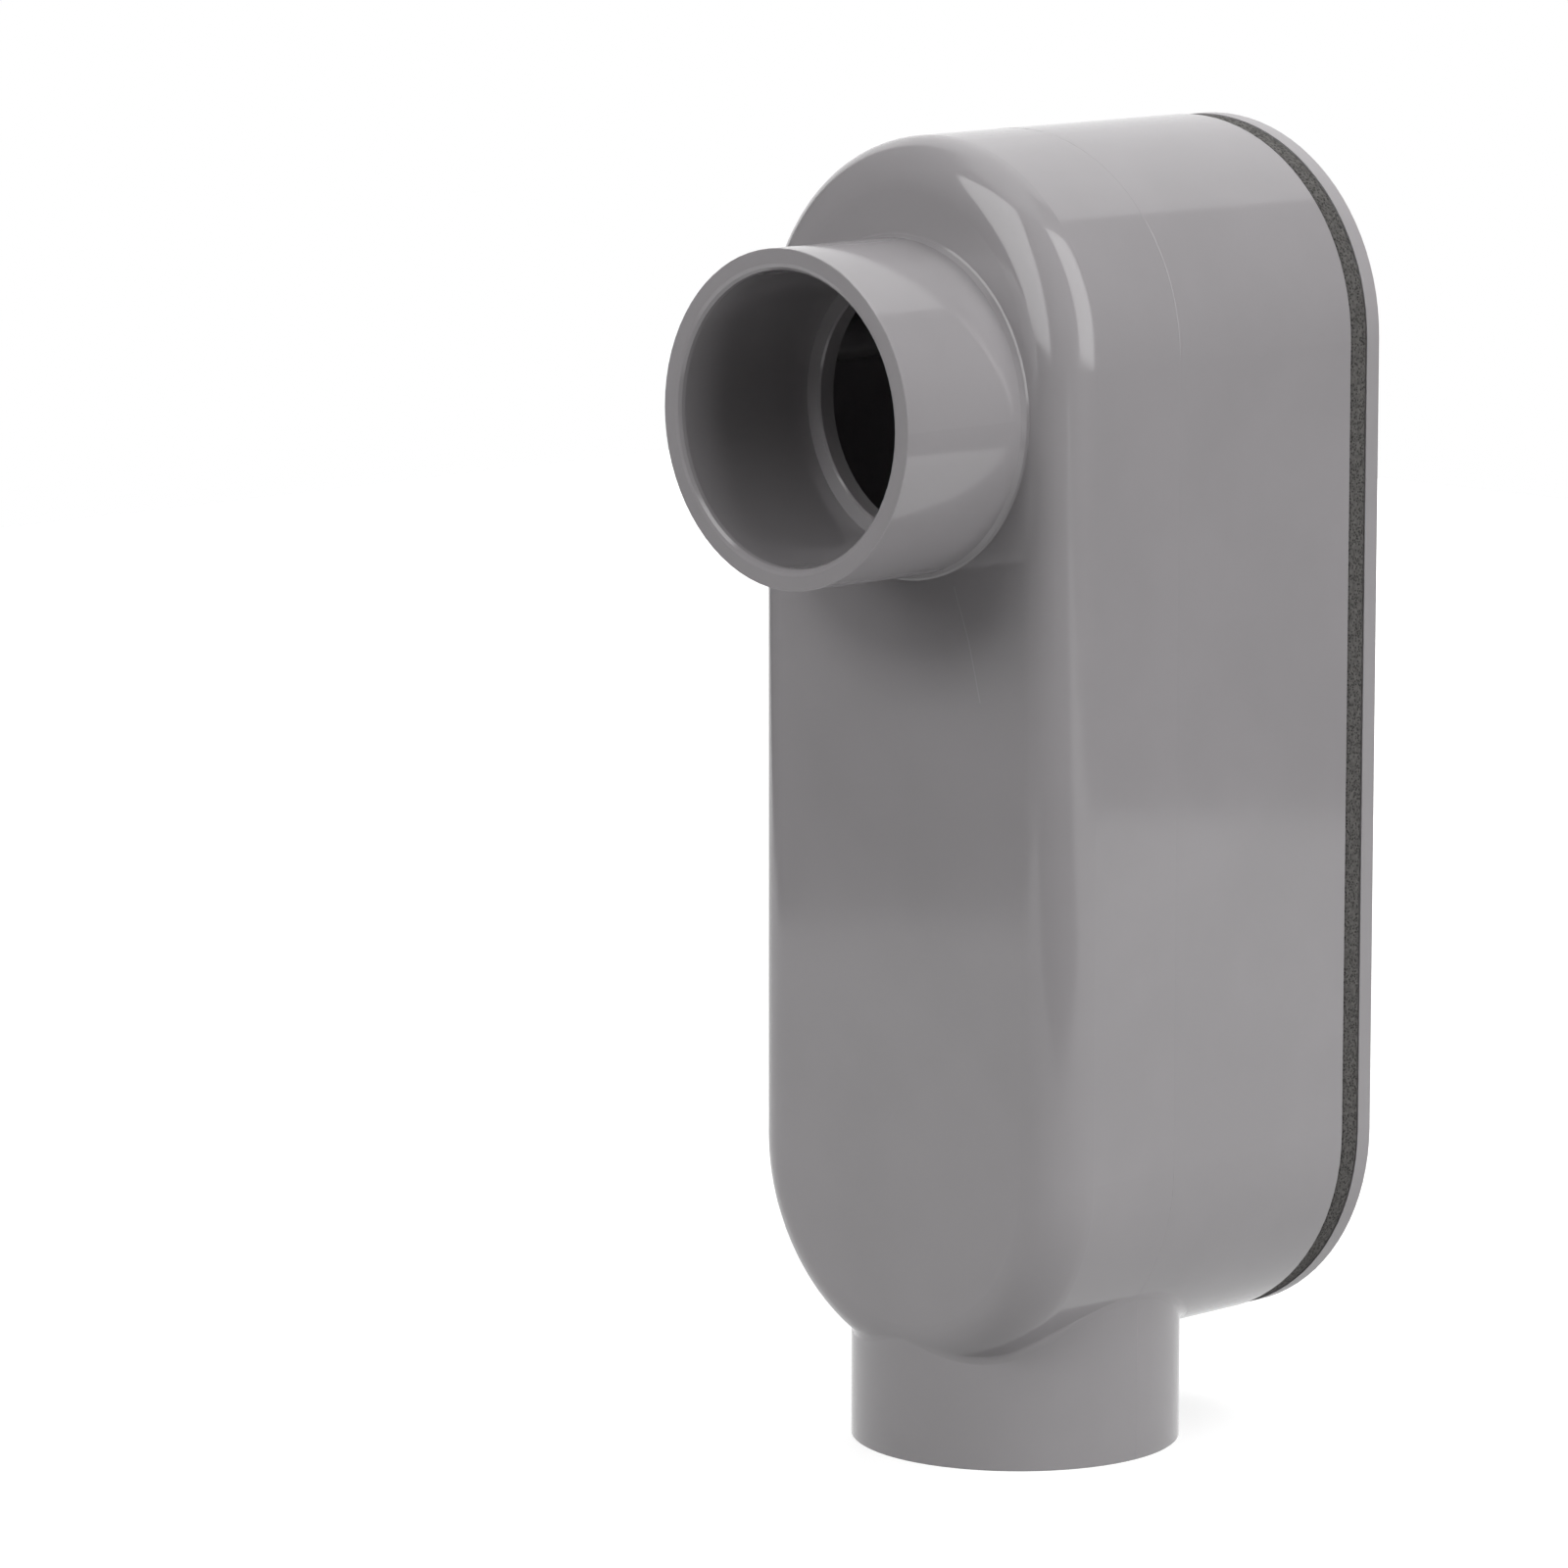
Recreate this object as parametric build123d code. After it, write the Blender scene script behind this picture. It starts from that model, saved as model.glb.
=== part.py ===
from build123d import *
import math
import os

# Type LB conduit body in grey PVC, trade size 2 in. All sizes are in millimetres.
# The frame: +Z up, the front hub faces -Y, the cover closes the back at +Y.
# The origin is the middle of the seat in the bottom socket, where the conduit's end stops.

# Conduit and sockets
CONDUIT_DIAMETER = 60.3
SOCKET_CLEARANCE = 0.1
SOCKET_DEPTH = 36.9
HUB_WALL = 4.55
LEAD_IN_RADIUS = 1.5
LEAD_IN_CONES = 3
STOP_STEP = 3.6
STOP_THICKNESS = 4.1
THROAT_BREAK = 0.4
HUB_END_BREAK = 0.15
FRONT_HUB_LENGTH = 34.1
FRONT_ROOT_WIDTH = 1.05
FRONT_ROOT_LENGTH = 1.3
FRONT_ROOT_LIP_WIDTH = 0.45
FRONT_ROOT_LIP_LENGTH = 0.28
BOTTOM_HUB_REACH = 18.5
BOTTOM_HUB_FILLET = 2.5

# Box of the body
BODY_WIDTH = 90.0
BODY_HEIGHT = 258.4
BODY_DEPTH = 88.4
BODY_WALL = 4.5
FRONT_EDGE_RADIUS = 10.5
RIM_EDGE_BREAK = 0.4
BOTTOM_AXIS_FROM_FRONT = 35.2
FRONT_AXIS_FROM_TOP = 55.1

# Cover and gasket
GASKET_THICKNESS = 5.0
GASKET_WIDTH = 12.0
GASKET_INSET = 0.8
COVER_THICKNESS = 4.0
COVER_INSET = 0.2
COVER_EDGE_BREAK = 0.2

# Cover screws, no. 10, and the bosses that take them
SCREW_DIAMETER = 4.8
SCREW_LENGTH = 25.0
SCREW_HEAD_DIAMETER = 9.4
SCREW_HEAD_DEPTH = 2.7
SCREW_FROM_EDGE = 7.0
BOSS_DIAMETER = 10.0
BOSS_HOLE_CLEARANCE = 0.1
BOSS_HOLE_SPARE = 3.0
PLATE_HOLE_CLEARANCE = 0.3
RECESS_WIDTH = 1.2
RECESS_SPAN = 5.2
RECESS_DEPTH = 1.8

# How far a cutting shape runs past the face that it opens
CUT_SPARE = 1.0
SAME_PLANE = 0.001

# Places that follow from the sizes
socket_radius = CONDUIT_DIAMETER / 2 + SOCKET_CLEARANCE
hub_radius = socket_radius + HUB_WALL
stop_radius = socket_radius - STOP_STEP
front_y = -BOTTOM_AXIS_FROM_FRONT
rim_y = front_y + BODY_DEPTH
cover_front_y = rim_y + GASKET_THICKNESS
cover_back_y = cover_front_y + COVER_THICKNESS
mouth_z = -SOCKET_DEPTH
box_bottom_z = mouth_z + BOTTOM_HUB_REACH
box_top_z = box_bottom_z + BODY_HEIGHT
box_middle_z = (box_bottom_z + box_top_z) / 2
front_axis_z = box_top_z - FRONT_AXIS_FROM_TOP
front_mouth_y = front_y - FRONT_HUB_LENGTH
screw_x = BODY_WIDTH / 2 - SCREW_FROM_EDGE
screw_z = BODY_HEIGHT / 2 - BODY_WIDTH / 2
plate_hole_radius = SCREW_DIAMETER / 2 + PLATE_HOLE_CLEARANCE

# This break leaves the wall as thick behind the middle of the rounded front edge as elsewhere
chamber_edge_break = (FRONT_EDGE_RADIUS - BODY_WALL) * (2 - math.sqrt(2))


def slab(inset, front, thickness):
    """An obround slab with the box's outline, drawn in by inset, and its front face at y = front."""
    outline = SlotOverall(BODY_HEIGHT - 2 * inset, BODY_WIDTH - 2 * inset, rotation=90)
    return extrude(Plane.XZ.offset(-front) * Pos(0, box_middle_z) * outline, amount=-thickness)


def edges_at(part, y):
    """All edges of a part that lie in the plane at this y."""
    return part.edges().filter_by_position(Axis.Y, y - SAME_PLANE, y + SAME_PLANE)


def in_bottom_hub(part):
    """Places a part that is drawn about Z with its mouth at z = 0 into the bottom hub."""
    return Pos(0, 0, mouth_z) * part


def in_front_hub(part):
    """Places a part that is drawn about Z with its mouth at z = 0 into the front hub."""
    return Pos(0, front_mouth_y, front_axis_z) * Rot(-90, 0, 0) * part


def at_screws(part):
    """Copies of a part that is drawn along Y, one at each cover screw's axis."""
    spots = [(x, z) for x in (-screw_x, screw_x) for z in (-screw_z, screw_z)]
    return [Pos(x, 0, box_middle_z + z) * part for x, z in spots]


def y_cylinder(radius, start, end):
    """A cylinder along Y from start to end."""
    return Pos(0, start, 0) * Rot(-90, 0, 0) * Cylinder(
        radius, end - start, align=(Align.CENTER, Align.CENTER, Align.MIN)
    )


def turned(*points):
    """A solid turned about Z from the (radius, height) points of half its section."""
    return revolve(Plane.XZ * make_face(Polyline(*points, close=True)), Axis.Z)


def hub(length):
    """A hub from its mouth at z = 0, with the small break on its outer end."""
    break_radius = hub_radius - HUB_END_BREAK
    return turned((0, 0), (break_radius, 0), (hub_radius, HUB_END_BREAK), (hub_radius, length), (0, length))


def front_hub_root():
    """The ring that eases the front hub into the front face: a steep cone and a flat one, as a fillet."""
    outer = hub_radius + FRONT_ROOT_WIDTH
    end = FRONT_HUB_LENGTH + BODY_WALL
    return turned(
        (socket_radius, FRONT_HUB_LENGTH - FRONT_ROOT_LENGTH),
        (hub_radius, FRONT_HUB_LENGTH - FRONT_ROOT_LENGTH),
        (outer - FRONT_ROOT_LIP_WIDTH, FRONT_HUB_LENGTH - FRONT_ROOT_LIP_LENGTH),
        (outer, FRONT_HUB_LENGTH),
        (outer, end),
        (socket_radius, end),
    )


def lead_in():
    """The rounded edge of a socket's mouth, as the ends of short cones from the mouth inwards."""
    centre = socket_radius + LEAD_IN_RADIUS
    turns = [math.pi / 2 * step / LEAD_IN_CONES for step in range(LEAD_IN_CONES + 1)]
    return [
        (centre - LEAD_IN_RADIUS * math.sin(turn), LEAD_IN_RADIUS * (1 - math.cos(turn))) for turn in turns
    ]


def socket_space(throat_end):
    """The space inside a hub: lead-in, socket, and the throat through the stop ring to throat_end."""
    return turned(
        (0, -CUT_SPARE),
        (socket_radius + LEAD_IN_RADIUS, -CUT_SPARE),
        *lead_in(),
        (socket_radius, SOCKET_DEPTH),
        (stop_radius + THROAT_BREAK, SOCKET_DEPTH),
        (stop_radius, SOCKET_DEPTH + THROAT_BREAK),
        (stop_radius, throat_end),
        (0, throat_end),
    )


def box_form(inset):
    """The box as a solid with its rounded front edge, drawn in on the front and sides by inset."""
    box = slab(inset, front_y + inset, BODY_DEPTH - inset)
    return fillet(edges_at(box, front_y + inset), FRONT_EDGE_RADIUS - inset)


def chamber():
    """The hollow of the box, open at the back, with a break on its front edge."""
    hollow = slab(BODY_WALL, front_y + BODY_WALL, BODY_DEPTH)
    return chamfer(edges_at(hollow, front_y + BODY_WALL), chamber_edge_break)


def outer_form():
    """The outside of the box, with the bottom hub grown out of its lower end."""
    box = box_form(0)
    box = chamfer(edges_at(box, rim_y), RIM_EDGE_BREAK)
    barrel = in_bottom_hub(hub(SOCKET_DEPTH + STOP_THICKNESS))
    form = box + barrel
    joint = new_edges(box, barrel, combined=form).filter_by(GeomType.LINE, reverse=True)
    return fillet(joint, BOTTOM_HUB_FILLET)


def screw_bosses():
    """The four columns that stand from the front wall to the rim and merge with the side walls."""
    columns = at_screws(y_cylinder(BOSS_DIAMETER / 2, front_y, rim_y))
    inside = box_form(BODY_WALL / 2)
    return [column & inside for column in columns]


def body():
    """The one-piece moulding: box, two hubs with their stop rings, and four screw bosses."""
    hub_depth = SOCKET_DEPTH + STOP_THICKNESS
    moulding = outer_form() - chamber()
    moulding += in_bottom_hub(hub(hub_depth))
    moulding += in_front_hub(hub(hub_depth)) + in_front_hub(front_hub_root())
    moulding += screw_bosses()
    throat_end = max(FRONT_HUB_LENGTH, BOTTOM_HUB_REACH, SOCKET_DEPTH) + BODY_WALL + STOP_THICKNESS
    moulding -= [in_bottom_hub(socket_space(throat_end)), in_front_hub(socket_space(throat_end))]
    hole_bottom = cover_back_y - SCREW_LENGTH - BOSS_HOLE_SPARE
    hole = y_cylinder(SCREW_DIAMETER / 2 + BOSS_HOLE_CLEARANCE, hole_bottom, rim_y + CUT_SPARE)
    moulding -= at_screws(hole)
    return moulding


def gasket():
    """The foam ring between the rim and the cover."""
    ring = slab(GASKET_INSET, rim_y, GASKET_THICKNESS)
    ring -= slab(GASKET_INSET + GASKET_WIDTH, rim_y, GASKET_THICKNESS)
    hole = y_cylinder(plate_hole_radius, rim_y - CUT_SPARE, cover_front_y + CUT_SPARE)
    return ring - at_screws(hole)


def cover():
    """The flat plate over the open back, with four countersunk holes."""
    plate = slab(COVER_INSET, cover_front_y, COVER_THICKNESS)
    plate = chamfer(edges_at(plate, cover_back_y), COVER_EDGE_BREAK)
    hole = y_cylinder(plate_hole_radius, cover_front_y - CUT_SPARE, cover_back_y + CUT_SPARE)
    return plate - at_screws(hole) - at_screws(head_cone())


def head_cone():
    """The countersunk head of a cover screw, its top flush with the cover."""
    top = cover_back_y
    cone = Cone(
        SCREW_DIAMETER / 2,
        SCREW_HEAD_DIAMETER / 2,
        SCREW_HEAD_DEPTH,
        align=(Align.CENTER, Align.CENTER, Align.MIN),
    )
    return Pos(0, top - SCREW_HEAD_DEPTH, 0) * Rot(-90, 0, 0) * cone


def cover_screw():
    """One countersunk screw with a cross recess, along Y."""
    tip = cover_back_y - SCREW_LENGTH
    shank = y_cylinder(SCREW_DIAMETER / 2, tip, cover_back_y - SCREW_HEAD_DEPTH)
    screw = shank + head_cone()
    arm = Pos(0, cover_back_y, 0) * Box(RECESS_SPAN, 2 * RECESS_DEPTH, RECESS_WIDTH)
    return screw - arm - Rot(0, 90, 0) * arm


def cover_screws():
    """The four equal cover screws."""
    return Compound(children=at_screws(cover_screw()))


def write(part, name):
    """Writes one node to its STEP file."""
    export_step(part, os.path.join("parts", name + ".step"))


os.makedirs("parts", exist_ok=True)
write(body(), "body")
write(gasket(), "gasket")
write(cover(), "cover")
write(cover_screws(), "cover_screws")
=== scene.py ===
import math

import bmesh
import bpy
from mathutils import Matrix, Vector, noise


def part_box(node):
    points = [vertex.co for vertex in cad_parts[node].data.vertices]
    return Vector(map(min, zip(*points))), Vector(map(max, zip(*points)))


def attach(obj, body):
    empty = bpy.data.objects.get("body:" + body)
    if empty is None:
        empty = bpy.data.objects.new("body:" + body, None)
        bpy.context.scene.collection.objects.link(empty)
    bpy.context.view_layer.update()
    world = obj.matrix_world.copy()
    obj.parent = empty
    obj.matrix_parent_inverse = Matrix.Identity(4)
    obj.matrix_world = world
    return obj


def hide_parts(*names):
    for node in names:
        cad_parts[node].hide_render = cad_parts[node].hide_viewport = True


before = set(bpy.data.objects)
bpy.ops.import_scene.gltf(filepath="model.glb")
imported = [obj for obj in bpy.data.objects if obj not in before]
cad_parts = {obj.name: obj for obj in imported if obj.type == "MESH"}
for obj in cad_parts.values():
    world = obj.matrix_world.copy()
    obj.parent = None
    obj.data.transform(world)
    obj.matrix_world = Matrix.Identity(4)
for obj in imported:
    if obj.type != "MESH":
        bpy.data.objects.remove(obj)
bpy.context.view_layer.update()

MM = 0.001

# The camera, in the row frame: metres and degrees, and millimetres for its lens and sensor
CAMERA_TARGET = Vector((-0.0346, -0.0348, 0.1025))
CAMERA_AZIMUTH = 45.0
CAMERA_ELEVATION = 9.27
CAMERA_DISTANCE = 1.675
CAMERA_LENS = 183.4
SENSOR_WIDTH = 36.0

# The studio: metres, degrees and watts. Azimuth 0 is in front of the object, 90 at its right
STUDIO_CENTRE = Vector((0.0, 0.0, 0.1))
LIGHT_DISTANCE = 1.6
SHEEN_SETBACK = 0.02

# A lamp's place is (azimuth, elevation) and its shape is (width, height). Its aim is how far it is
# turned, tipped and rolled away from facing the studio's centre
FRONT_PLACE = (-1.9, 33.3)
FRONT_SHAPE = (1.28, 1.86)
FRONT_AIM = (24.3, -3.0, -2.2)
RIGHT_AIM = (-27.4, -13.6, -6.1)
STRAIGHT = (0.0, 0.0, 0.0)

# The lamps: name, place, shape, watts, aim, and the only kind of ray that sees it, if there is one
LAMPS = (
    ("front_softbox", FRONT_PLACE, FRONT_SHAPE, 7.2, FRONT_AIM, None),
    ("front_core", FRONT_PLACE, (0.5, 0.5), 6.0, STRAIGHT, "diffuse"),
    ("front_sheen", FRONT_PLACE, FRONT_SHAPE, 18.0, FRONT_AIM, "glossy"),
    ("right_softbox", (113.4, 32.9), (1.03, 1.74), 18.0, RIGHT_AIM, "glossy"),
    ("low_right_fill", (95, 6), (1.1, 0.55), 16.2, STRAIGHT, "diffuse"),
    ("high_right_fill", (120, 62), (0.8, 0.8), 12.2, STRAIGHT, "diffuse"),
    ("left_fill", (-40, 25), (0.8, 0.8), 7.6, STRAIGHT, "diffuse"),
    ("top_fill", (90, 70), (1.2, 1.2), 3.9, STRAIGHT, "diffuse"),
    ("back_fill", (-150, 40), (1.2, 1.2), 25.0, STRAIGHT, "diffuse"),
)

# The floor, and the white table that reflections see in its place, with edges as (azimuth, distance)
FLOOR_SIZE = 2.6
FLOOR_COLOR = (0.30, 0.30, 0.30, 1.0)
FLOOR_GLOW = 0.80
FLOOR_GLOW_SPREAD = (0.45, 1.1)
RIGHT_EDGE = (135, 0.47)
TABLE_EDGES = ((-45, 0.66), (51, 0.505), RIGHT_EDGE)
TABLE_EDGE_BLUR = 0.05
BOARD_TOP = 0.028
BOARD_HALF_LENGTH = 2.0

# The dim room, which only reflections see
WALL_RADIUS = 2.4
WALL_START = -105
WALL_END = 165
WALL_STEPS = 54
WALL_BOTTOM = -1.5
WALL_TOP = 9.0
WALL_FADE = (4.0, 8.5)
WALL_SHADE = 0.04

# Colours, ranges of roughness, and how strongly the foam reflects
PVC_DARK = (0.271, 0.260, 0.268, 1.0)
PVC_LIGHT = (0.285, 0.273, 0.282, 1.0)
PVC_SCRATCH = (0.32, 0.31, 0.32, 1.0)
MOULDED_ROUGHNESS = (0.08, 0.12)
SHEET_ROUGHNESS = (0.32, 0.42)
# The foam's pores are painted darker than its cell walls, as painted shade in the cut cells
FOAM_PORE_SHADE = (0.030, 0.029, 0.028, 1.0)
FOAM_SKIN = (0.103, 0.099, 0.095, 1.0)
FOAM_ROUGHNESS = (1.0, 0.85)
FOAM_SPECULAR = 0.25
STEEL_COLOR = (0.60, 0.59, 0.57)
STEEL_ROUGHNESS = (0.22, 0.38)

# Noises, as (blobs in a metre, detail), and the part of a noise's range that counts
PVC_MOTTLE = (28, 3)
PVC_WEAR = (60, 2)
PVC_PEEL = (500, 2)
FOAM_PATCHES = (900, 2)
STEEL_SCUFFS = (700, 3)
STEEL_MARKS = (6000, 3)
NOISE_RANGE = (0.3, 0.7)

# Bumps, as (strength, distance)
PVC_BUMP = (0.04, 0.1 * MM)
FOAM_BUMP = (0.8, 0.2 * MM)
STEEL_BUMP = (0.25, 0.05 * MM)

# The foam's cells: how many in a metre, how far from a cell's middle its wall begins and is full,
# and how dark and light the patches make it
FOAM_CELLS = 1700
FOAM_WALL = (0.15, 0.55)
FOAM_PATCH_SHADE = (0.5, 1.0)

# The steel's shade where it has no scuffs, and what they add
STEEL_SHADE = 0.9
STEEL_SCUFF_SHADE = 0.2

# Two measures of the CAD part
FRONT_FACE_Y = -35.2 * MM
SCREW_HEAD_RADIUS = 4.7 * MM

# The fine scratch down the front face, as (x, z) points
SCRATCH = ((15.0 * MM, 149.0 * MM), (19.2 * MM, 138.0 * MM), (22.4 * MM, 126.0 * MM))
SCRATCH_WIDTH = 0.30 * MM

# Places that the CAD nodes give
body_low, body_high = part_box("body")
gasket_low, gasket_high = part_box("gasket")
cover_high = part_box("cover")[1]
screws_low, screws_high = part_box("cover_screws")
box_radius = body_high.x
box_top_z = body_high.z
screw_x = screws_high.x - SCREW_HEAD_RADIUS
screw_low_z = screws_low.z + SCREW_HEAD_RADIUS
screw_high_z = screws_high.z - SCREW_HEAD_RADIUS
arc_top_z = box_top_z - box_radius
arc_bottom_z = screw_low_z + screw_high_z - arc_top_z
middle_z = (arc_bottom_z + arc_top_z) / 2
half_straight = (arc_top_z - arc_bottom_z) / 2


def direction(azimuth, elevation):
    """The unit vector from the object towards an azimuth and elevation, both in degrees."""
    turn = math.radians(azimuth)
    rise = math.radians(elevation)
    return Vector((math.sin(turn) * math.cos(rise), -math.cos(turn) * math.cos(rise), math.sin(rise)))


def add_camera():
    """The camera at the photograph's viewing angle."""
    camera = bpy.data.objects.new("camera", bpy.data.cameras.new("camera"))
    back = direction(CAMERA_AZIMUTH, CAMERA_ELEVATION)
    camera.location = CAMERA_TARGET + back * CAMERA_DISTANCE
    camera.rotation_euler = (-back).to_track_quat("-Z", "Y").to_euler()
    camera.data.lens = CAMERA_LENS
    camera.data.sensor_width = SENSOR_WIDTH
    bpy.context.scene.collection.objects.link(camera)
    bpy.context.scene.camera = camera


# Mesh helpers

def new_object(name, mesh):
    """An object in the scene for a mesh."""
    made = bpy.data.objects.new(name, mesh)
    bpy.context.scene.collection.objects.link(made)
    return made


def mesh_object(name, verts, faces):
    """An object from lists of points and faces."""
    mesh = bpy.data.meshes.new(name)
    mesh.from_pydata([tuple(v) for v in verts], [], faces)
    mesh.update()
    return new_object(name, mesh)


def tube_faces(rings, size, closed=False):
    """The faces of a tube through rings of points, all of one size.

    The tube comes round to its first ring if it is closed, and has a cap at each end if not.
    """
    faces = []
    for ring in range(rings if closed else rings - 1):
        low = ring * size
        high = (ring + 1) % rings * size
        for side in range(size):
            after = (side + 1) % size
            faces.append((low + side, low + after, high + after, high + side))
    if not closed:
        faces.append(tuple(reversed(range(size))))
        faces.append(tuple(range((rings - 1) * size, rings * size)))
    return faces


def turned_over(faces):
    """The same faces with their fronts at the back."""
    return [face[:1] + face[:0:-1] for face in faces]


def cut(target, cutter):
    """Takes the cutter's space out of the target, and deletes the cutter."""
    modifier = target.modifiers.new("cut", "BOOLEAN")
    modifier.operation = "DIFFERENCE"
    modifier.solver = "EXACT"
    modifier.object = cutter
    depsgraph = bpy.context.evaluated_depsgraph_get()
    result = bpy.data.meshes.new_from_object(target.evaluated_get(depsgraph))
    target.modifiers.clear()
    target.data = result
    bpy.data.objects.remove(cutter)


def shade_smooth(piece, angle):
    """Smooth faces, with sharp edges where faces meet at more than this angle in degrees."""
    piece.data.polygons.foreach_set("use_smooth", [True] * len(piece.data.polygons))
    piece.data.set_sharp_from_angle(angle=math.radians(angle))


# Node helpers

def new_material(name):
    """A material with its node tree and its main shader."""
    material = bpy.data.materials.new(name)
    material.use_nodes = True
    tree = material.node_tree
    return material, tree, tree.nodes["Principled BSDF"]


def add(tree, kind, inputs=None, **settings):
    """Adds a node with its settings. Inputs are values or other nodes' outputs."""
    made = tree.nodes.new("ShaderNode" + kind)
    for name, value in settings.items():
        setattr(made, name, value)
    for name, value in (inputs or {}).items():
        feed(tree, made.inputs[name], value)
    return made


def feed(tree, socket, value):
    """Gives a socket its value, or links it to another node's output."""
    if isinstance(value, bpy.types.NodeSocket):
        tree.links.new(value, socket)
    else:
        socket.default_value = value


def calculate(tree, operation, *values):
    """The result of a Math node."""
    return add(tree, "Math", dict(enumerate(values)), operation=operation).outputs[0]


def remap(tree, value, low, high, new_low, new_high):
    """Value moved from one range to another, smoothly and within its ends."""
    inputs = {"Value": value, "From Min": low, "From Max": high, "To Min": new_low, "To Max": new_high}
    return add(tree, "MapRange", inputs, interpolation_type="SMOOTHSTEP").outputs["Result"]


def object_place(tree):
    """The place on the object, in its own coordinates."""
    return add(tree, "TexCoord").outputs["Object"]


def noise_at(tree, place, scale, detail):
    """Noise of about one blob per 1 / scale metres."""
    return add(tree, "TexNoise", {"Vector": place, "Scale": scale, "Detail": detail}).outputs["Fac"]


def blend_colors(tree, factor, first, second):
    """The mix of two colours."""
    mix = add(tree, "Mix", data_type="RGBA")
    for name, value in (("Factor", factor), ("A", first), ("B", second)):
        feed(tree, next(s for s in mix.inputs if s.name == name and s.enabled), value)
    return next(s for s in mix.outputs if s.enabled)


def set_finish(tree, shader, color, roughness, height, bump):
    """Links a colour, a roughness and a height for a bump of some (strength, distance) to a shader."""
    strength, distance = bump
    normal = add(tree, "Bump", {"Strength": strength, "Distance": distance, "Height": height}).outputs[0]
    for name, value in (("Base Color", color), ("Roughness", roughness), ("Normal", normal)):
        feed(tree, shader.inputs[name], value)


def measure(tree, operation, *vectors):
    """The number that a Vector Math node gives."""
    return add(tree, "VectorMath", dict(enumerate(vectors)), operation=operation).outputs["Value"]


def from_line(tree, place, start, end):
    """The distance from a straight line that runs from one point to another."""
    line = end - start
    length = line.length
    ahead = line / length
    from_start = add(tree, "VectorMath", {0: place, 1: start}, operation="SUBTRACT").outputs[0]
    along = measure(tree, "DOT_PRODUCT", from_start, ahead)
    within = calculate(tree, "MINIMUM", calculate(tree, "MAXIMUM", along, 0), length)
    foot = add(tree, "VectorMath", {0: ahead, "Scale": within}, operation="SCALE").outputs[0]
    return measure(tree, "DISTANCE", from_start, foot)


def seen_directly(tree):
    """1 for camera, glossy and transmission rays, 0 for the rest."""
    path = add(tree, "LightPath")
    seen = calculate(tree, "MAXIMUM", path.outputs["Is Camera Ray"], path.outputs["Is Glossy Ray"])
    return calculate(tree, "MAXIMUM", seen, path.outputs["Is Transmission Ray"])


# Finishes

def pvc(name, roughness_range):
    """Grey PVC: faintly mottled, with a very slight orange peel, and a scratch on the front face."""
    material, tree, shader = new_material(name)
    place = object_place(tree)
    mottle = remap(tree, noise_at(tree, place, *PVC_MOTTLE), *NOISE_RANGE, 0, 1)
    points = [Vector((x, FRONT_FACE_Y, z)) for x, z in SCRATCH]
    scratches = [from_line(tree, place, start, end) for start, end in zip(points, points[1:])]
    scratch = remap(tree, calculate(tree, "MINIMUM", *scratches), 0, SCRATCH_WIDTH, 1, 0)
    color = blend_colors(tree, scratch, blend_colors(tree, mottle, PVC_DARK, PVC_LIGHT), PVC_SCRATCH)
    roughness = remap(tree, noise_at(tree, place, *PVC_WEAR), *NOISE_RANGE, *roughness_range)
    set_finish(tree, shader, color, roughness, noise_at(tree, place, *PVC_PEEL), PVC_BUMP)
    return material


def foam():
    """Closed-cell foam cut through its pores, with painted shade in the pores."""
    material, tree, shader = new_material("foam")
    place = object_place(tree)
    pores = add(tree, "TexVoronoi", {"Vector": place, "Scale": FOAM_CELLS}).outputs["Distance"]
    wall = remap(tree, pores, *FOAM_WALL, 0, 1)
    patches = remap(tree, noise_at(tree, place, *FOAM_PATCHES), *NOISE_RANGE, *FOAM_PATCH_SHADE)
    # Painted shade: the pores are darker than the cell walls round them
    color = blend_colors(tree, calculate(tree, "MULTIPLY", wall, patches), FOAM_PORE_SHADE, FOAM_SKIN)
    set_finish(tree, shader, color, remap(tree, wall, 0, 1, *FOAM_ROUGHNESS), wall, FOAM_BUMP)
    shader.inputs["Specular IOR Level"].default_value = FOAM_SPECULAR
    return material


def from_screw_axis(tree, place):
    """The distance from the axis of the nearest cover screw."""
    axes = add(tree, "SeparateXYZ", {0: place})
    across = calculate(tree, "SUBTRACT", calculate(tree, "ABSOLUTE", axes.outputs["X"]), screw_x)
    from_middle = calculate(tree, "SUBTRACT", axes.outputs["Z"], middle_z)
    along = calculate(tree, "SUBTRACT", calculate(tree, "ABSOLUTE", from_middle), half_straight)
    squares = [calculate(tree, "MULTIPLY", side, side) for side in (across, along)]
    return calculate(tree, "SQRT", calculate(tree, "ADD", *squares))


def steel():
    """Stainless steel with fine turning marks about each screw's axis."""
    material, tree, shader = new_material("steel")
    place = object_place(tree)
    rings = add(tree, "CombineXYZ", {0: from_screw_axis(tree, place)}).outputs[0]
    scuffs = noise_at(tree, place, *STEEL_SCUFFS)
    shade = calculate(tree, "ADD", STEEL_SHADE, calculate(tree, "MULTIPLY", scuffs, STEEL_SCUFF_SHADE))
    color = add(tree, "VectorMath", {0: STEEL_COLOR, "Scale": shade}, operation="SCALE").outputs[0]
    roughness = remap(tree, scuffs, *NOISE_RANGE, *STEEL_ROUGHNESS)
    set_finish(tree, shader, color, roughness, noise_at(tree, rings, *STEEL_MARKS), STEEL_BUMP)
    shader.inputs["Metallic"].default_value = 1.0
    return material


def dress(node, material):
    """Gives a CAD node its finish."""
    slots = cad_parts[node].data.materials
    slots.clear()
    slots.append(material)


def finish_piece(piece, material):
    """Gives a new piece its finish and its body."""
    piece.data.materials.append(material)
    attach(piece, "root")


# The foam gasket, with its cut edge in pores

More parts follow.
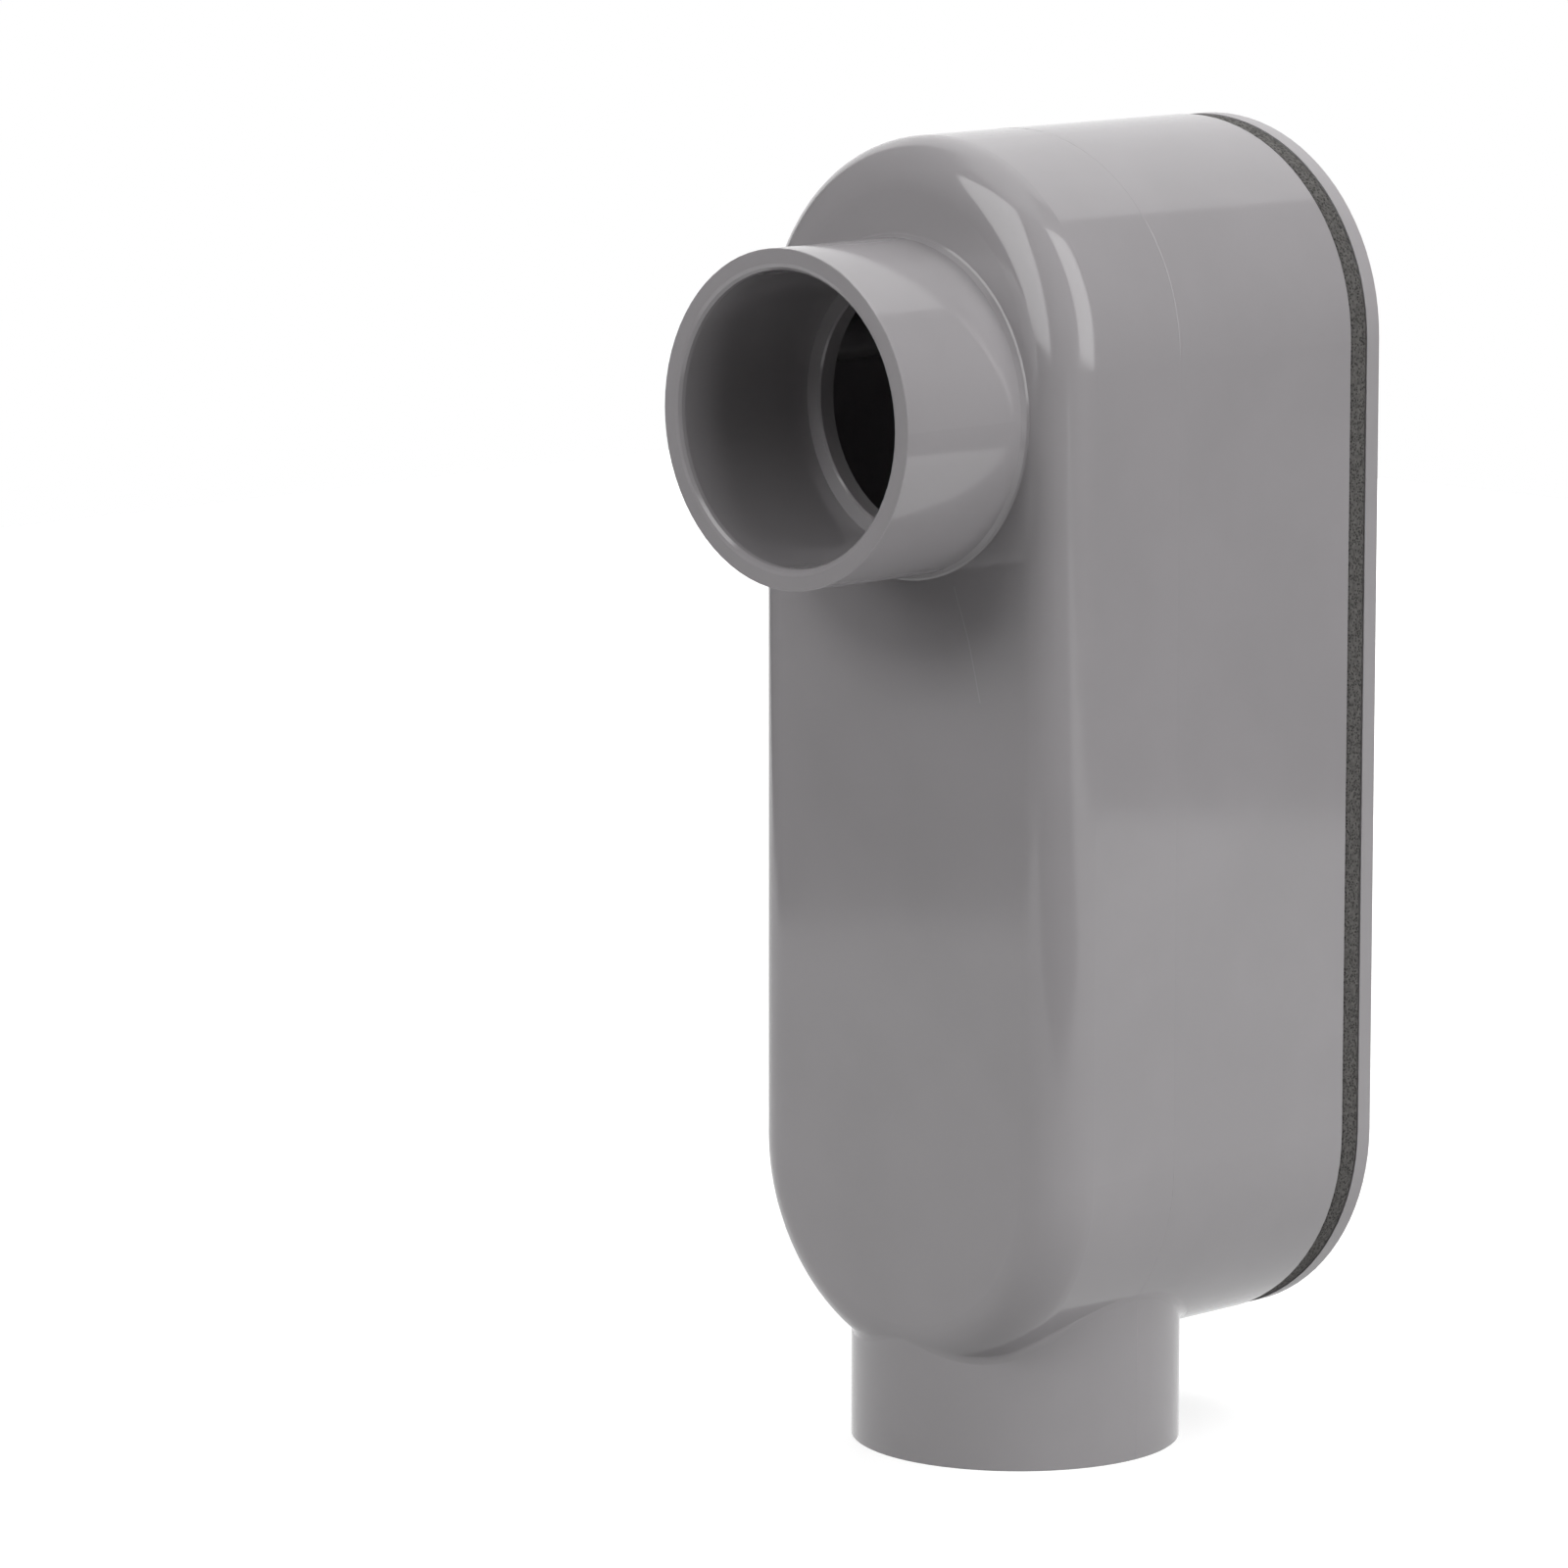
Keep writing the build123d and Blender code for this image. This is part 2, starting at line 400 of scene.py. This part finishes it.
GASKET_WIDTH = 12.0 * MM
GASKET_STEPS = 1800
GASKET_ROWS = 18
GASKET_BULGE = 0.45 * MM
GASKET_RIM_GAP = (1.15 * MM, 0.75 * MM)
GASKET_COVER_GAP = (0.30 * MM, 0.30 * MM)
GASKET_PORE_DEPTH = 0.10 * MM
GASKET_PORE_SIZE = 0.9 * MM
GASKET_WAVE_DEPTH = 0.10 * MM
GASKET_WAVE_SIZE = 14.0 * MM
GASKET_NOISE_SHIFT = 0.5
GASKET_HOLE_RADIUS = 2.7 * MM
GASKET_HOLE_SIDES = 48
GASKET_SHARP_ANGLE = 50


def obround(radius, along):
    """The point at a distance along an obround, and its outward direction, as (x, z) from its middle."""
    straight = 2 * half_straight
    half_turns, rest = divmod(along, straight + math.pi * radius)
    flip = -1 if half_turns % 2 else 1
    if rest < straight:
        point, out = Vector((radius, rest - half_straight)), Vector((1.0, 0.0))
    else:
        turn = (rest - straight) / radius
        out = Vector((math.cos(turn), math.sin(turn)))
        point = out * radius + Vector((0.0, half_straight))
    return point * flip, out * flip


def edge_drop(gap, distance):
    """How far the foam is drawn in at a distance from a face, by the gap's (depth, width) there."""
    depth, width = gap
    return depth * max(0.0, 1 - distance / width) ** 2


def gasket_ring():
    """The ring with its wavy, porous outer edge."""
    radius = gasket_high.x + GASKET_BULGE
    depth = gasket_high.y - gasket_low.y
    perimeter = 4 * half_straight + 2 * math.pi * radius
    verts = []
    for step in range(GASKET_STEPS):
        point, out = obround(radius, perimeter * step / GASKET_STEPS)
        for row in range(GASKET_ROWS + 1):
            across = depth * (1 - math.cos(math.pi * row / GASKET_ROWS)) / 2
            y = gasket_low.y + across
            place = Vector((point.x, y, point.y))
            pores = noise.noise(place / GASKET_PORE_SIZE) - GASKET_NOISE_SHIFT
            wave = noise.noise(place / GASKET_WAVE_SIZE) - GASKET_NOISE_SHIFT
            drop = edge_drop(GASKET_RIM_GAP, across) + edge_drop(GASKET_COVER_GAP, depth - across)
            inward = drop - GASKET_PORE_DEPTH * min(pores, 0) - GASKET_WAVE_DEPTH * wave
            edge = point - out * max(inward, 0)
            verts.append((edge.x, y, middle_z + edge.y))
        inner = point - out * (GASKET_WIDTH + GASKET_BULGE)
        verts.append((inner.x, gasket_high.y, middle_z + inner.y))
        verts.append((inner.x, gasket_low.y, middle_z + inner.y))
    points_in_ring = len(verts) // GASKET_STEPS
    return mesh_object("foam_gasket", verts, tube_faces(GASKET_STEPS, points_in_ring, closed=True))


def screw_spots():
    """The (x, z) places of the four cover screws."""
    return [(x, z) for x in (-screw_x, screw_x) for z in (screw_low_z, screw_high_z)]


def hole_cutter(x, z):
    """A plain cylinder along Y, to cut a screw's hole through the gasket."""
    low_y = gasket_low.y - MM
    high_y = gasket_high.y + MM
    place = Matrix.Translation((x, (low_y + high_y) / 2, z)) @ Matrix.Rotation(math.pi / 2, 4, "X")
    radius = GASKET_HOLE_RADIUS
    sizes = {"radius1": radius, "radius2": radius, "depth": high_y - low_y, "segments": GASKET_HOLE_SIDES}
    mesh = bpy.data.meshes.new("cutter")
    shape = bmesh.new()
    bmesh.ops.create_cone(shape, cap_ends=True, matrix=place, **sizes)
    shape.to_mesh(mesh)
    shape.free()
    return new_object("cutter", mesh)


def add_gasket(material):
    """The gasket that stands for the plain CAD ring."""
    gasket = gasket_ring()
    for x, z in screw_spots():
        cut(gasket, hole_cutter(x, z))
    shade_smooth(gasket, GASKET_SHARP_ANGLE)
    finish_piece(gasket, material)
    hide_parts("gasket")


# The cover screws: countersunk, with a cross recess and a real thread

SCREW_LENGTH = 25.0 * MM
SCREW_RADIUS = 2.4 * MM
SCREW_ROOT_RADIUS = 1.85 * MM
SCREW_TIP_RADIUS = 0.85 * SCREW_ROOT_RADIUS
SCREW_PITCH = 1.06 * MM
SCREW_HEAD_DEPTH = 2.7 * MM
SCREW_SIDES = 40
SCREW_SHARP_ANGLE = 35
THREAD_ROWS_PER_TURN = 10
THREAD_FADE = 1.2 * MM
THREAD_STEEPNESS = 1.35

# The rim round the head's top, in from its edge and down from its top, in widths of the rim
SCREW_RIM = 0.12 * MM
SCREW_RIM_STEPS = ((1.0, 1.0), (1.6, 0.3), (2.6, 0.0))

# The cross recess: an arm's (length, width) at its top and bottom, how deep it is, how far its cutter
# stands out, and how each screw is turned, in degrees
RECESS_TOP = (5.2 * MM, 1.25 * MM)
RECESS_BOTTOM = (2.2 * MM, 0.8 * MM)
RECESS_DEPTH = 1.9 * MM
RECESS_SPARE = 0.3 * MM
RECESS_ANGLES = (12, 47, 78, 31)


def thread_radius(y, angle):
    """The radius of the threaded shank. y is 0 at the head's top and falls towards the tip."""
    turn = (y / SCREW_PITCH + angle / (2 * math.pi)) % 1.0
    crest = min(1.0, THREAD_STEEPNESS * (1 - abs(2 * turn - 1)))
    from_tip = (y + SCREW_LENGTH) / THREAD_FADE
    from_head = (-SCREW_HEAD_DEPTH - y) / THREAD_FADE
    root = SCREW_ROOT_RADIUS + (SCREW_RADIUS - SCREW_ROOT_RADIUS) * (1 - min(1.0, max(0.0, from_head)))
    full = root + (SCREW_RADIUS - root) * crest
    return SCREW_TIP_RADIUS + (full - SCREW_TIP_RADIUS) * min(1.0, max(0.0, from_tip))


def screw_mesh():
    """One screw along Y, its head's top at y = 0 and its tip towards -Y."""
    threaded = SCREW_LENGTH - SCREW_HEAD_DEPTH
    rows = round(threaded / SCREW_PITCH * THREAD_ROWS_PER_TURN)
    angles = [2 * math.pi * side / SCREW_SIDES for side in range(SCREW_SIDES)]
    rings = []
    for row in range(rows + 1):
        y = -SCREW_LENGTH + threaded * row / rows
        rings.append([(thread_radius(y, angle), y) for angle in angles])
    for inward, down in SCREW_RIM_STEPS:
        rings.append([(SCREW_HEAD_RADIUS - inward * SCREW_RIM, -down * SCREW_RIM)] * SCREW_SIDES)
    verts = [(r * math.cos(a), y, r * math.sin(a)) for ring in rings for (r, y), a in zip(ring, angles)]
    return mesh_object("screw", verts, turned_over(tube_faces(len(rings), SCREW_SIDES)))


def recess_cutter(turn):
    """One tapered arm of the cross recess, for cutting."""
    (top_length, top_width), (bottom_length, bottom_width) = RECESS_TOP, RECESS_BOTTOM
    levels = (
        (top_length, top_width, RECESS_SPARE),
        (top_length, top_width, 0.0),
        (bottom_length, bottom_width, -RECESS_DEPTH),
    )
    corners = ((-1, -1), (1, -1), (1, 1), (-1, 1))
    verts = [
        Matrix.Rotation(turn, 3, "Y") @ Vector((x * length / 2, y, z * width / 2))
        for length, width, y in levels
        for x, z in corners
    ]
    return mesh_object("cutter", verts, tube_faces(len(levels), len(corners)))


def add_screws(material):
    """The four screws, as one piece, each turned as it happened to be tightened."""
    screw = screw_mesh()
    cut(screw, recess_cutter(0))
    cut(screw, recess_cutter(math.pi / 2))
    shape = bmesh.new()
    for (x, z), angle in zip(screw_spots(), RECESS_ANGLES):
        place = Matrix.Translation((x, cover_high.y, z)) @ Matrix.Rotation(math.radians(angle), 4, "Y")
        one = screw.data.copy()
        one.transform(place)
        shape.from_mesh(one)
    mesh = bpy.data.meshes.new("countersunk_screws")
    shape.to_mesh(mesh)
    shape.free()
    bpy.data.objects.remove(screw)
    screws = new_object("countersunk_screws", mesh)
    shade_smooth(screws, SCREW_SHARP_ANGLE)
    finish_piece(screws, material)
    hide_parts("cover_screws")


# The mould's parting line: a fine raised line round the body in the plane of the hub's axis

PARTING_WIDTH = 0.34 * MM
PARTING_HEIGHT = 0.025 * MM
PARTING_SHOULDER = 0.8 * PARTING_HEIGHT
PARTING_SINK = 0.03 * MM
PARTING_ARC_STEP = math.radians(2.0)
PARTING_SHARP_ANGLE = 60
HUB_RADIUS = 34.8 * MM
HUB_END_GAP = 0.20 * MM
HUB_FILLET = 2.5 * MM


def arc_points(centre, radius, start, end, inward=False):
    """Points on an arc from one angle to another, with the outward direction of the surface."""
    steps = max(2, round(abs(end - start) / PARTING_ARC_STEP))
    points = []
    for step in range(steps + 1):
        angle = start + (end - start) * step / steps
        out = Vector((math.cos(angle), math.sin(angle)))
        points.append((centre + out * radius, -out if inward else out))
    return points


def parting_path():
    """The right half of the line, from the bottom hub's end to the top, as (x, z) points."""
    arc_centre = Vector((0, arc_bottom_z))
    fillet_x = HUB_RADIUS + HUB_FILLET
    fillet_z = arc_bottom_z - math.sqrt((box_radius + HUB_FILLET) ** 2 - fillet_x**2)
    fillet_centre = Vector((fillet_x, fillet_z))
    meet = (fillet_centre - arc_centre).normalized()
    meet_angle = math.atan2(meet.y, meet.x)
    right = Vector((1, 0))
    path = [(Vector((HUB_RADIUS, body_low.z + HUB_END_GAP)), right)]
    path += arc_points(fillet_centre, HUB_FILLET, math.pi, math.pi + meet_angle, inward=True)
    path += arc_points(arc_centre, box_radius, meet_angle, 0)
    path += arc_points(Vector((0, arc_top_z)), box_radius, 0, math.pi / 2)
    return path


def add_parting_line(material):
    """The raised line, sunk a little into the body."""
    right_half = parting_path()
    mirror = Vector((-1, 1))
    left_half = [(point * mirror, out * mirror) for point, out in reversed(right_half[:-1])]
    path = right_half + left_half
    section = (
        (-PARTING_WIDTH / 2, -PARTING_SINK),
        (-PARTING_WIDTH / 4, PARTING_SHOULDER),
        (0, PARTING_HEIGHT),
        (PARTING_WIDTH / 4, PARTING_SHOULDER),
        (PARTING_WIDTH / 2, -PARTING_SINK),
    )
    verts = []
    for point, out in path:
        for y, height in section:
            place = point + out * height
            verts.append((place.x, y, place.y))
    line = mesh_object("parting_line", verts, tube_faces(len(path), len(section)))
    shape = bmesh.new()
    shape.from_mesh(line.data)
    bmesh.ops.recalc_face_normals(shape, faces=shape.faces)
    shape.to_mesh(line.data)
    shape.free()
    shade_smooth(line, PARTING_SHARP_ANGLE)
    finish_piece(line, material)


# The studio

def softbox(name, place, shape, watts, aim, only):
    """A rectangular lamp, as one row of LAMPS gives it.

    only is "diffuse" for a fill that reflections don't show, and "glossy" for a lamp that they alone
    show. Of two lamps in one place, reflections show only one, so the second kind stands farther back.
    """
    azimuth, elevation = place
    turned, tipped, rolled = aim
    lamp = bpy.data.lights.new(name, "AREA")
    lamp.shape = "RECTANGLE"
    lamp.size, lamp.size_y = shape
    lamp.energy = watts
    light = bpy.data.objects.new(name, lamp)
    distance = LIGHT_DISTANCE + (SHEEN_SETBACK if only == "glossy" else 0)
    light.location = STUDIO_CENTRE + direction(azimuth, elevation) * distance
    back = direction(azimuth + turned, elevation + tipped)
    side = direction(azimuth + turned + 90, 0)
    level = Matrix((side, back.cross(side), back)).transposed()
    light.rotation_euler = (level @ Matrix.Rotation(math.radians(rolled), 3, "Z")).to_euler()
    light.visible_camera = False
    light.visible_glossy = only != "diffuse"
    light.visible_diffuse = only != "glossy"
    bpy.context.scene.collection.objects.link(light)


def only_in_reflections(thing):
    """A part of the studio that reflections see, and nothing else does."""
    thing.visible_camera = False
    thing.visible_diffuse = False
    thing.visible_shadow = False
    thing.visible_transmission = False


def glow_material(name, strength_of):
    """A material that only glows, with the strength that a function gives for its node tree."""
    material, tree, shader = new_material(name)
    tree.nodes.remove(shader)
    glow = add(tree, "Emission", {"Strength": strength_of(tree)})
    tree.links.new(glow.outputs[0], tree.nodes["Material Output"].inputs["Surface"])
    return material


def world_place(tree):
    """The place in the scene's own coordinates."""
    return add(tree, "NewGeometry").outputs["Position"]


def table_share(tree):
    """1 on the white table as reflections show it, 0 beyond its edges."""
    place = world_place(tree)
    share = 1
    for azimuth, distance in TABLE_EDGES:
        along = measure(tree, "DOT_PRODUCT", place, direction(azimuth, 0))
        within = remap(tree, along, distance - TABLE_EDGE_BLUR / 2, distance + TABLE_EDGE_BLUR / 2, 1, 0)
        share = calculate(tree, "MULTIPLY", share, within)
    return share


def floor_glow(tree):
    """How much the floor glows where it is seen directly: less near the object than far from it."""
    from_middle = measure(tree, "LENGTH", world_place(tree))
    glow = remap(tree, from_middle, *FLOOR_GLOW_SPREAD, FLOOR_GLOW, 1)
    return calculate(tree, "MULTIPLY", seen_directly(tree), glow)


def add_floor():
    """The white floor. Reflections see it only as far as the table's edges."""
    bpy.ops.mesh.primitive_plane_add(size=FLOOR_SIZE, location=(0, 0, body_low.z))
    floor = bpy.context.object
    floor.name = "floor"
    material, tree, shader = new_material("floor")
    shader.inputs["Base Color"].default_value = FLOOR_COLOR
    shader.inputs["Roughness"].default_value = 1.0
    shader.inputs["Specular IOR Level"].default_value = 0.0
    path = add(tree, "LightPath")
    reflected = add(tree, "Emission", {"Strength": remap(tree, table_share(tree), 0, 1, WALL_SHADE, 1)})
    pale = add(tree, "Emission", {"Strength": floor_glow(tree)})
    lit = add(tree, "AddShader", {0: shader.outputs[0], 1: pale.outputs[0]})
    shares = {0: path.outputs["Is Glossy Ray"], 1: lit.outputs[0], 2: reflected.outputs[0]}
    either = add(tree, "MixShader", shares)
    tree.links.new(either.outputs[0], tree.nodes["Material Output"].inputs["Surface"])
    floor.data.materials.append(material)


def add_board():
    """The white upstand at the right of the table, as reflections show it."""
    azimuth, distance = RIGHT_EDGE
    side = direction(azimuth - 90, 0) * BOARD_HALF_LENGTH
    foot = direction(azimuth, 0) * distance
    corners = [foot - side, foot + side]
    verts = [(c.x, c.y, z) for z, row in ((body_low.z, corners), (BOARD_TOP, corners[::-1])) for c in row]
    board = mesh_object("white_board", verts, [(0, 1, 2, 3)])
    board.data.materials.append(glow_material("white_board", lambda tree: 1.0))
    only_in_reflections(board)


def wall_glow(tree):
    """How light the room is: dim, and white towards the ceiling."""
    height = add(tree, "SeparateXYZ", {0: world_place(tree)}).outputs["Z"]
    return remap(tree, height, *WALL_FADE, WALL_SHADE, 1)


def add_wall():
    """The dim room behind the softboxes, which grows light towards the ceiling."""
    verts = []
    for step in range(WALL_STEPS + 1):
        out = direction(WALL_START + (WALL_END - WALL_START) * step / WALL_STEPS, 0) * WALL_RADIUS
        verts += [(out.x, out.y, WALL_BOTTOM), (out.x, out.y, WALL_TOP)]
    faces = [(2 * step, 2 * step + 2, 2 * step + 3, 2 * step + 1) for step in range(WALL_STEPS)]
    wall = mesh_object("dim_room", verts, faces)
    wall.data.materials.append(glow_material("dim_room", wall_glow))
    only_in_reflections(wall)


def add_world():
    """A white background for the camera and for reflections, and none for diffuse light."""
    world = bpy.data.worlds.new("world")
    bpy.context.scene.world = world
    world.use_nodes = True
    tree = world.node_tree
    background = tree.nodes["Background"]
    background.inputs["Color"].default_value = (1, 1, 1, 1)
    tree.links.new(seen_directly(tree), background.inputs["Strength"])


add_camera()
plastic = pvc("pvc", MOULDED_ROUGHNESS)
sheet = pvc("pvc_sheet", SHEET_ROUGHNESS)
rubber = foam()
metal = steel()
dress("body", plastic)
dress("cover", sheet)
dress("gasket", rubber)
dress("cover_screws", metal)
add_gasket(rubber)
add_screws(metal)
add_parting_line(plastic)
for lamp in LAMPS:
    softbox(*lamp)
add_floor()
add_board()
add_wall()
add_world()
bpy.context.scene.view_settings.view_transform = "Standard"
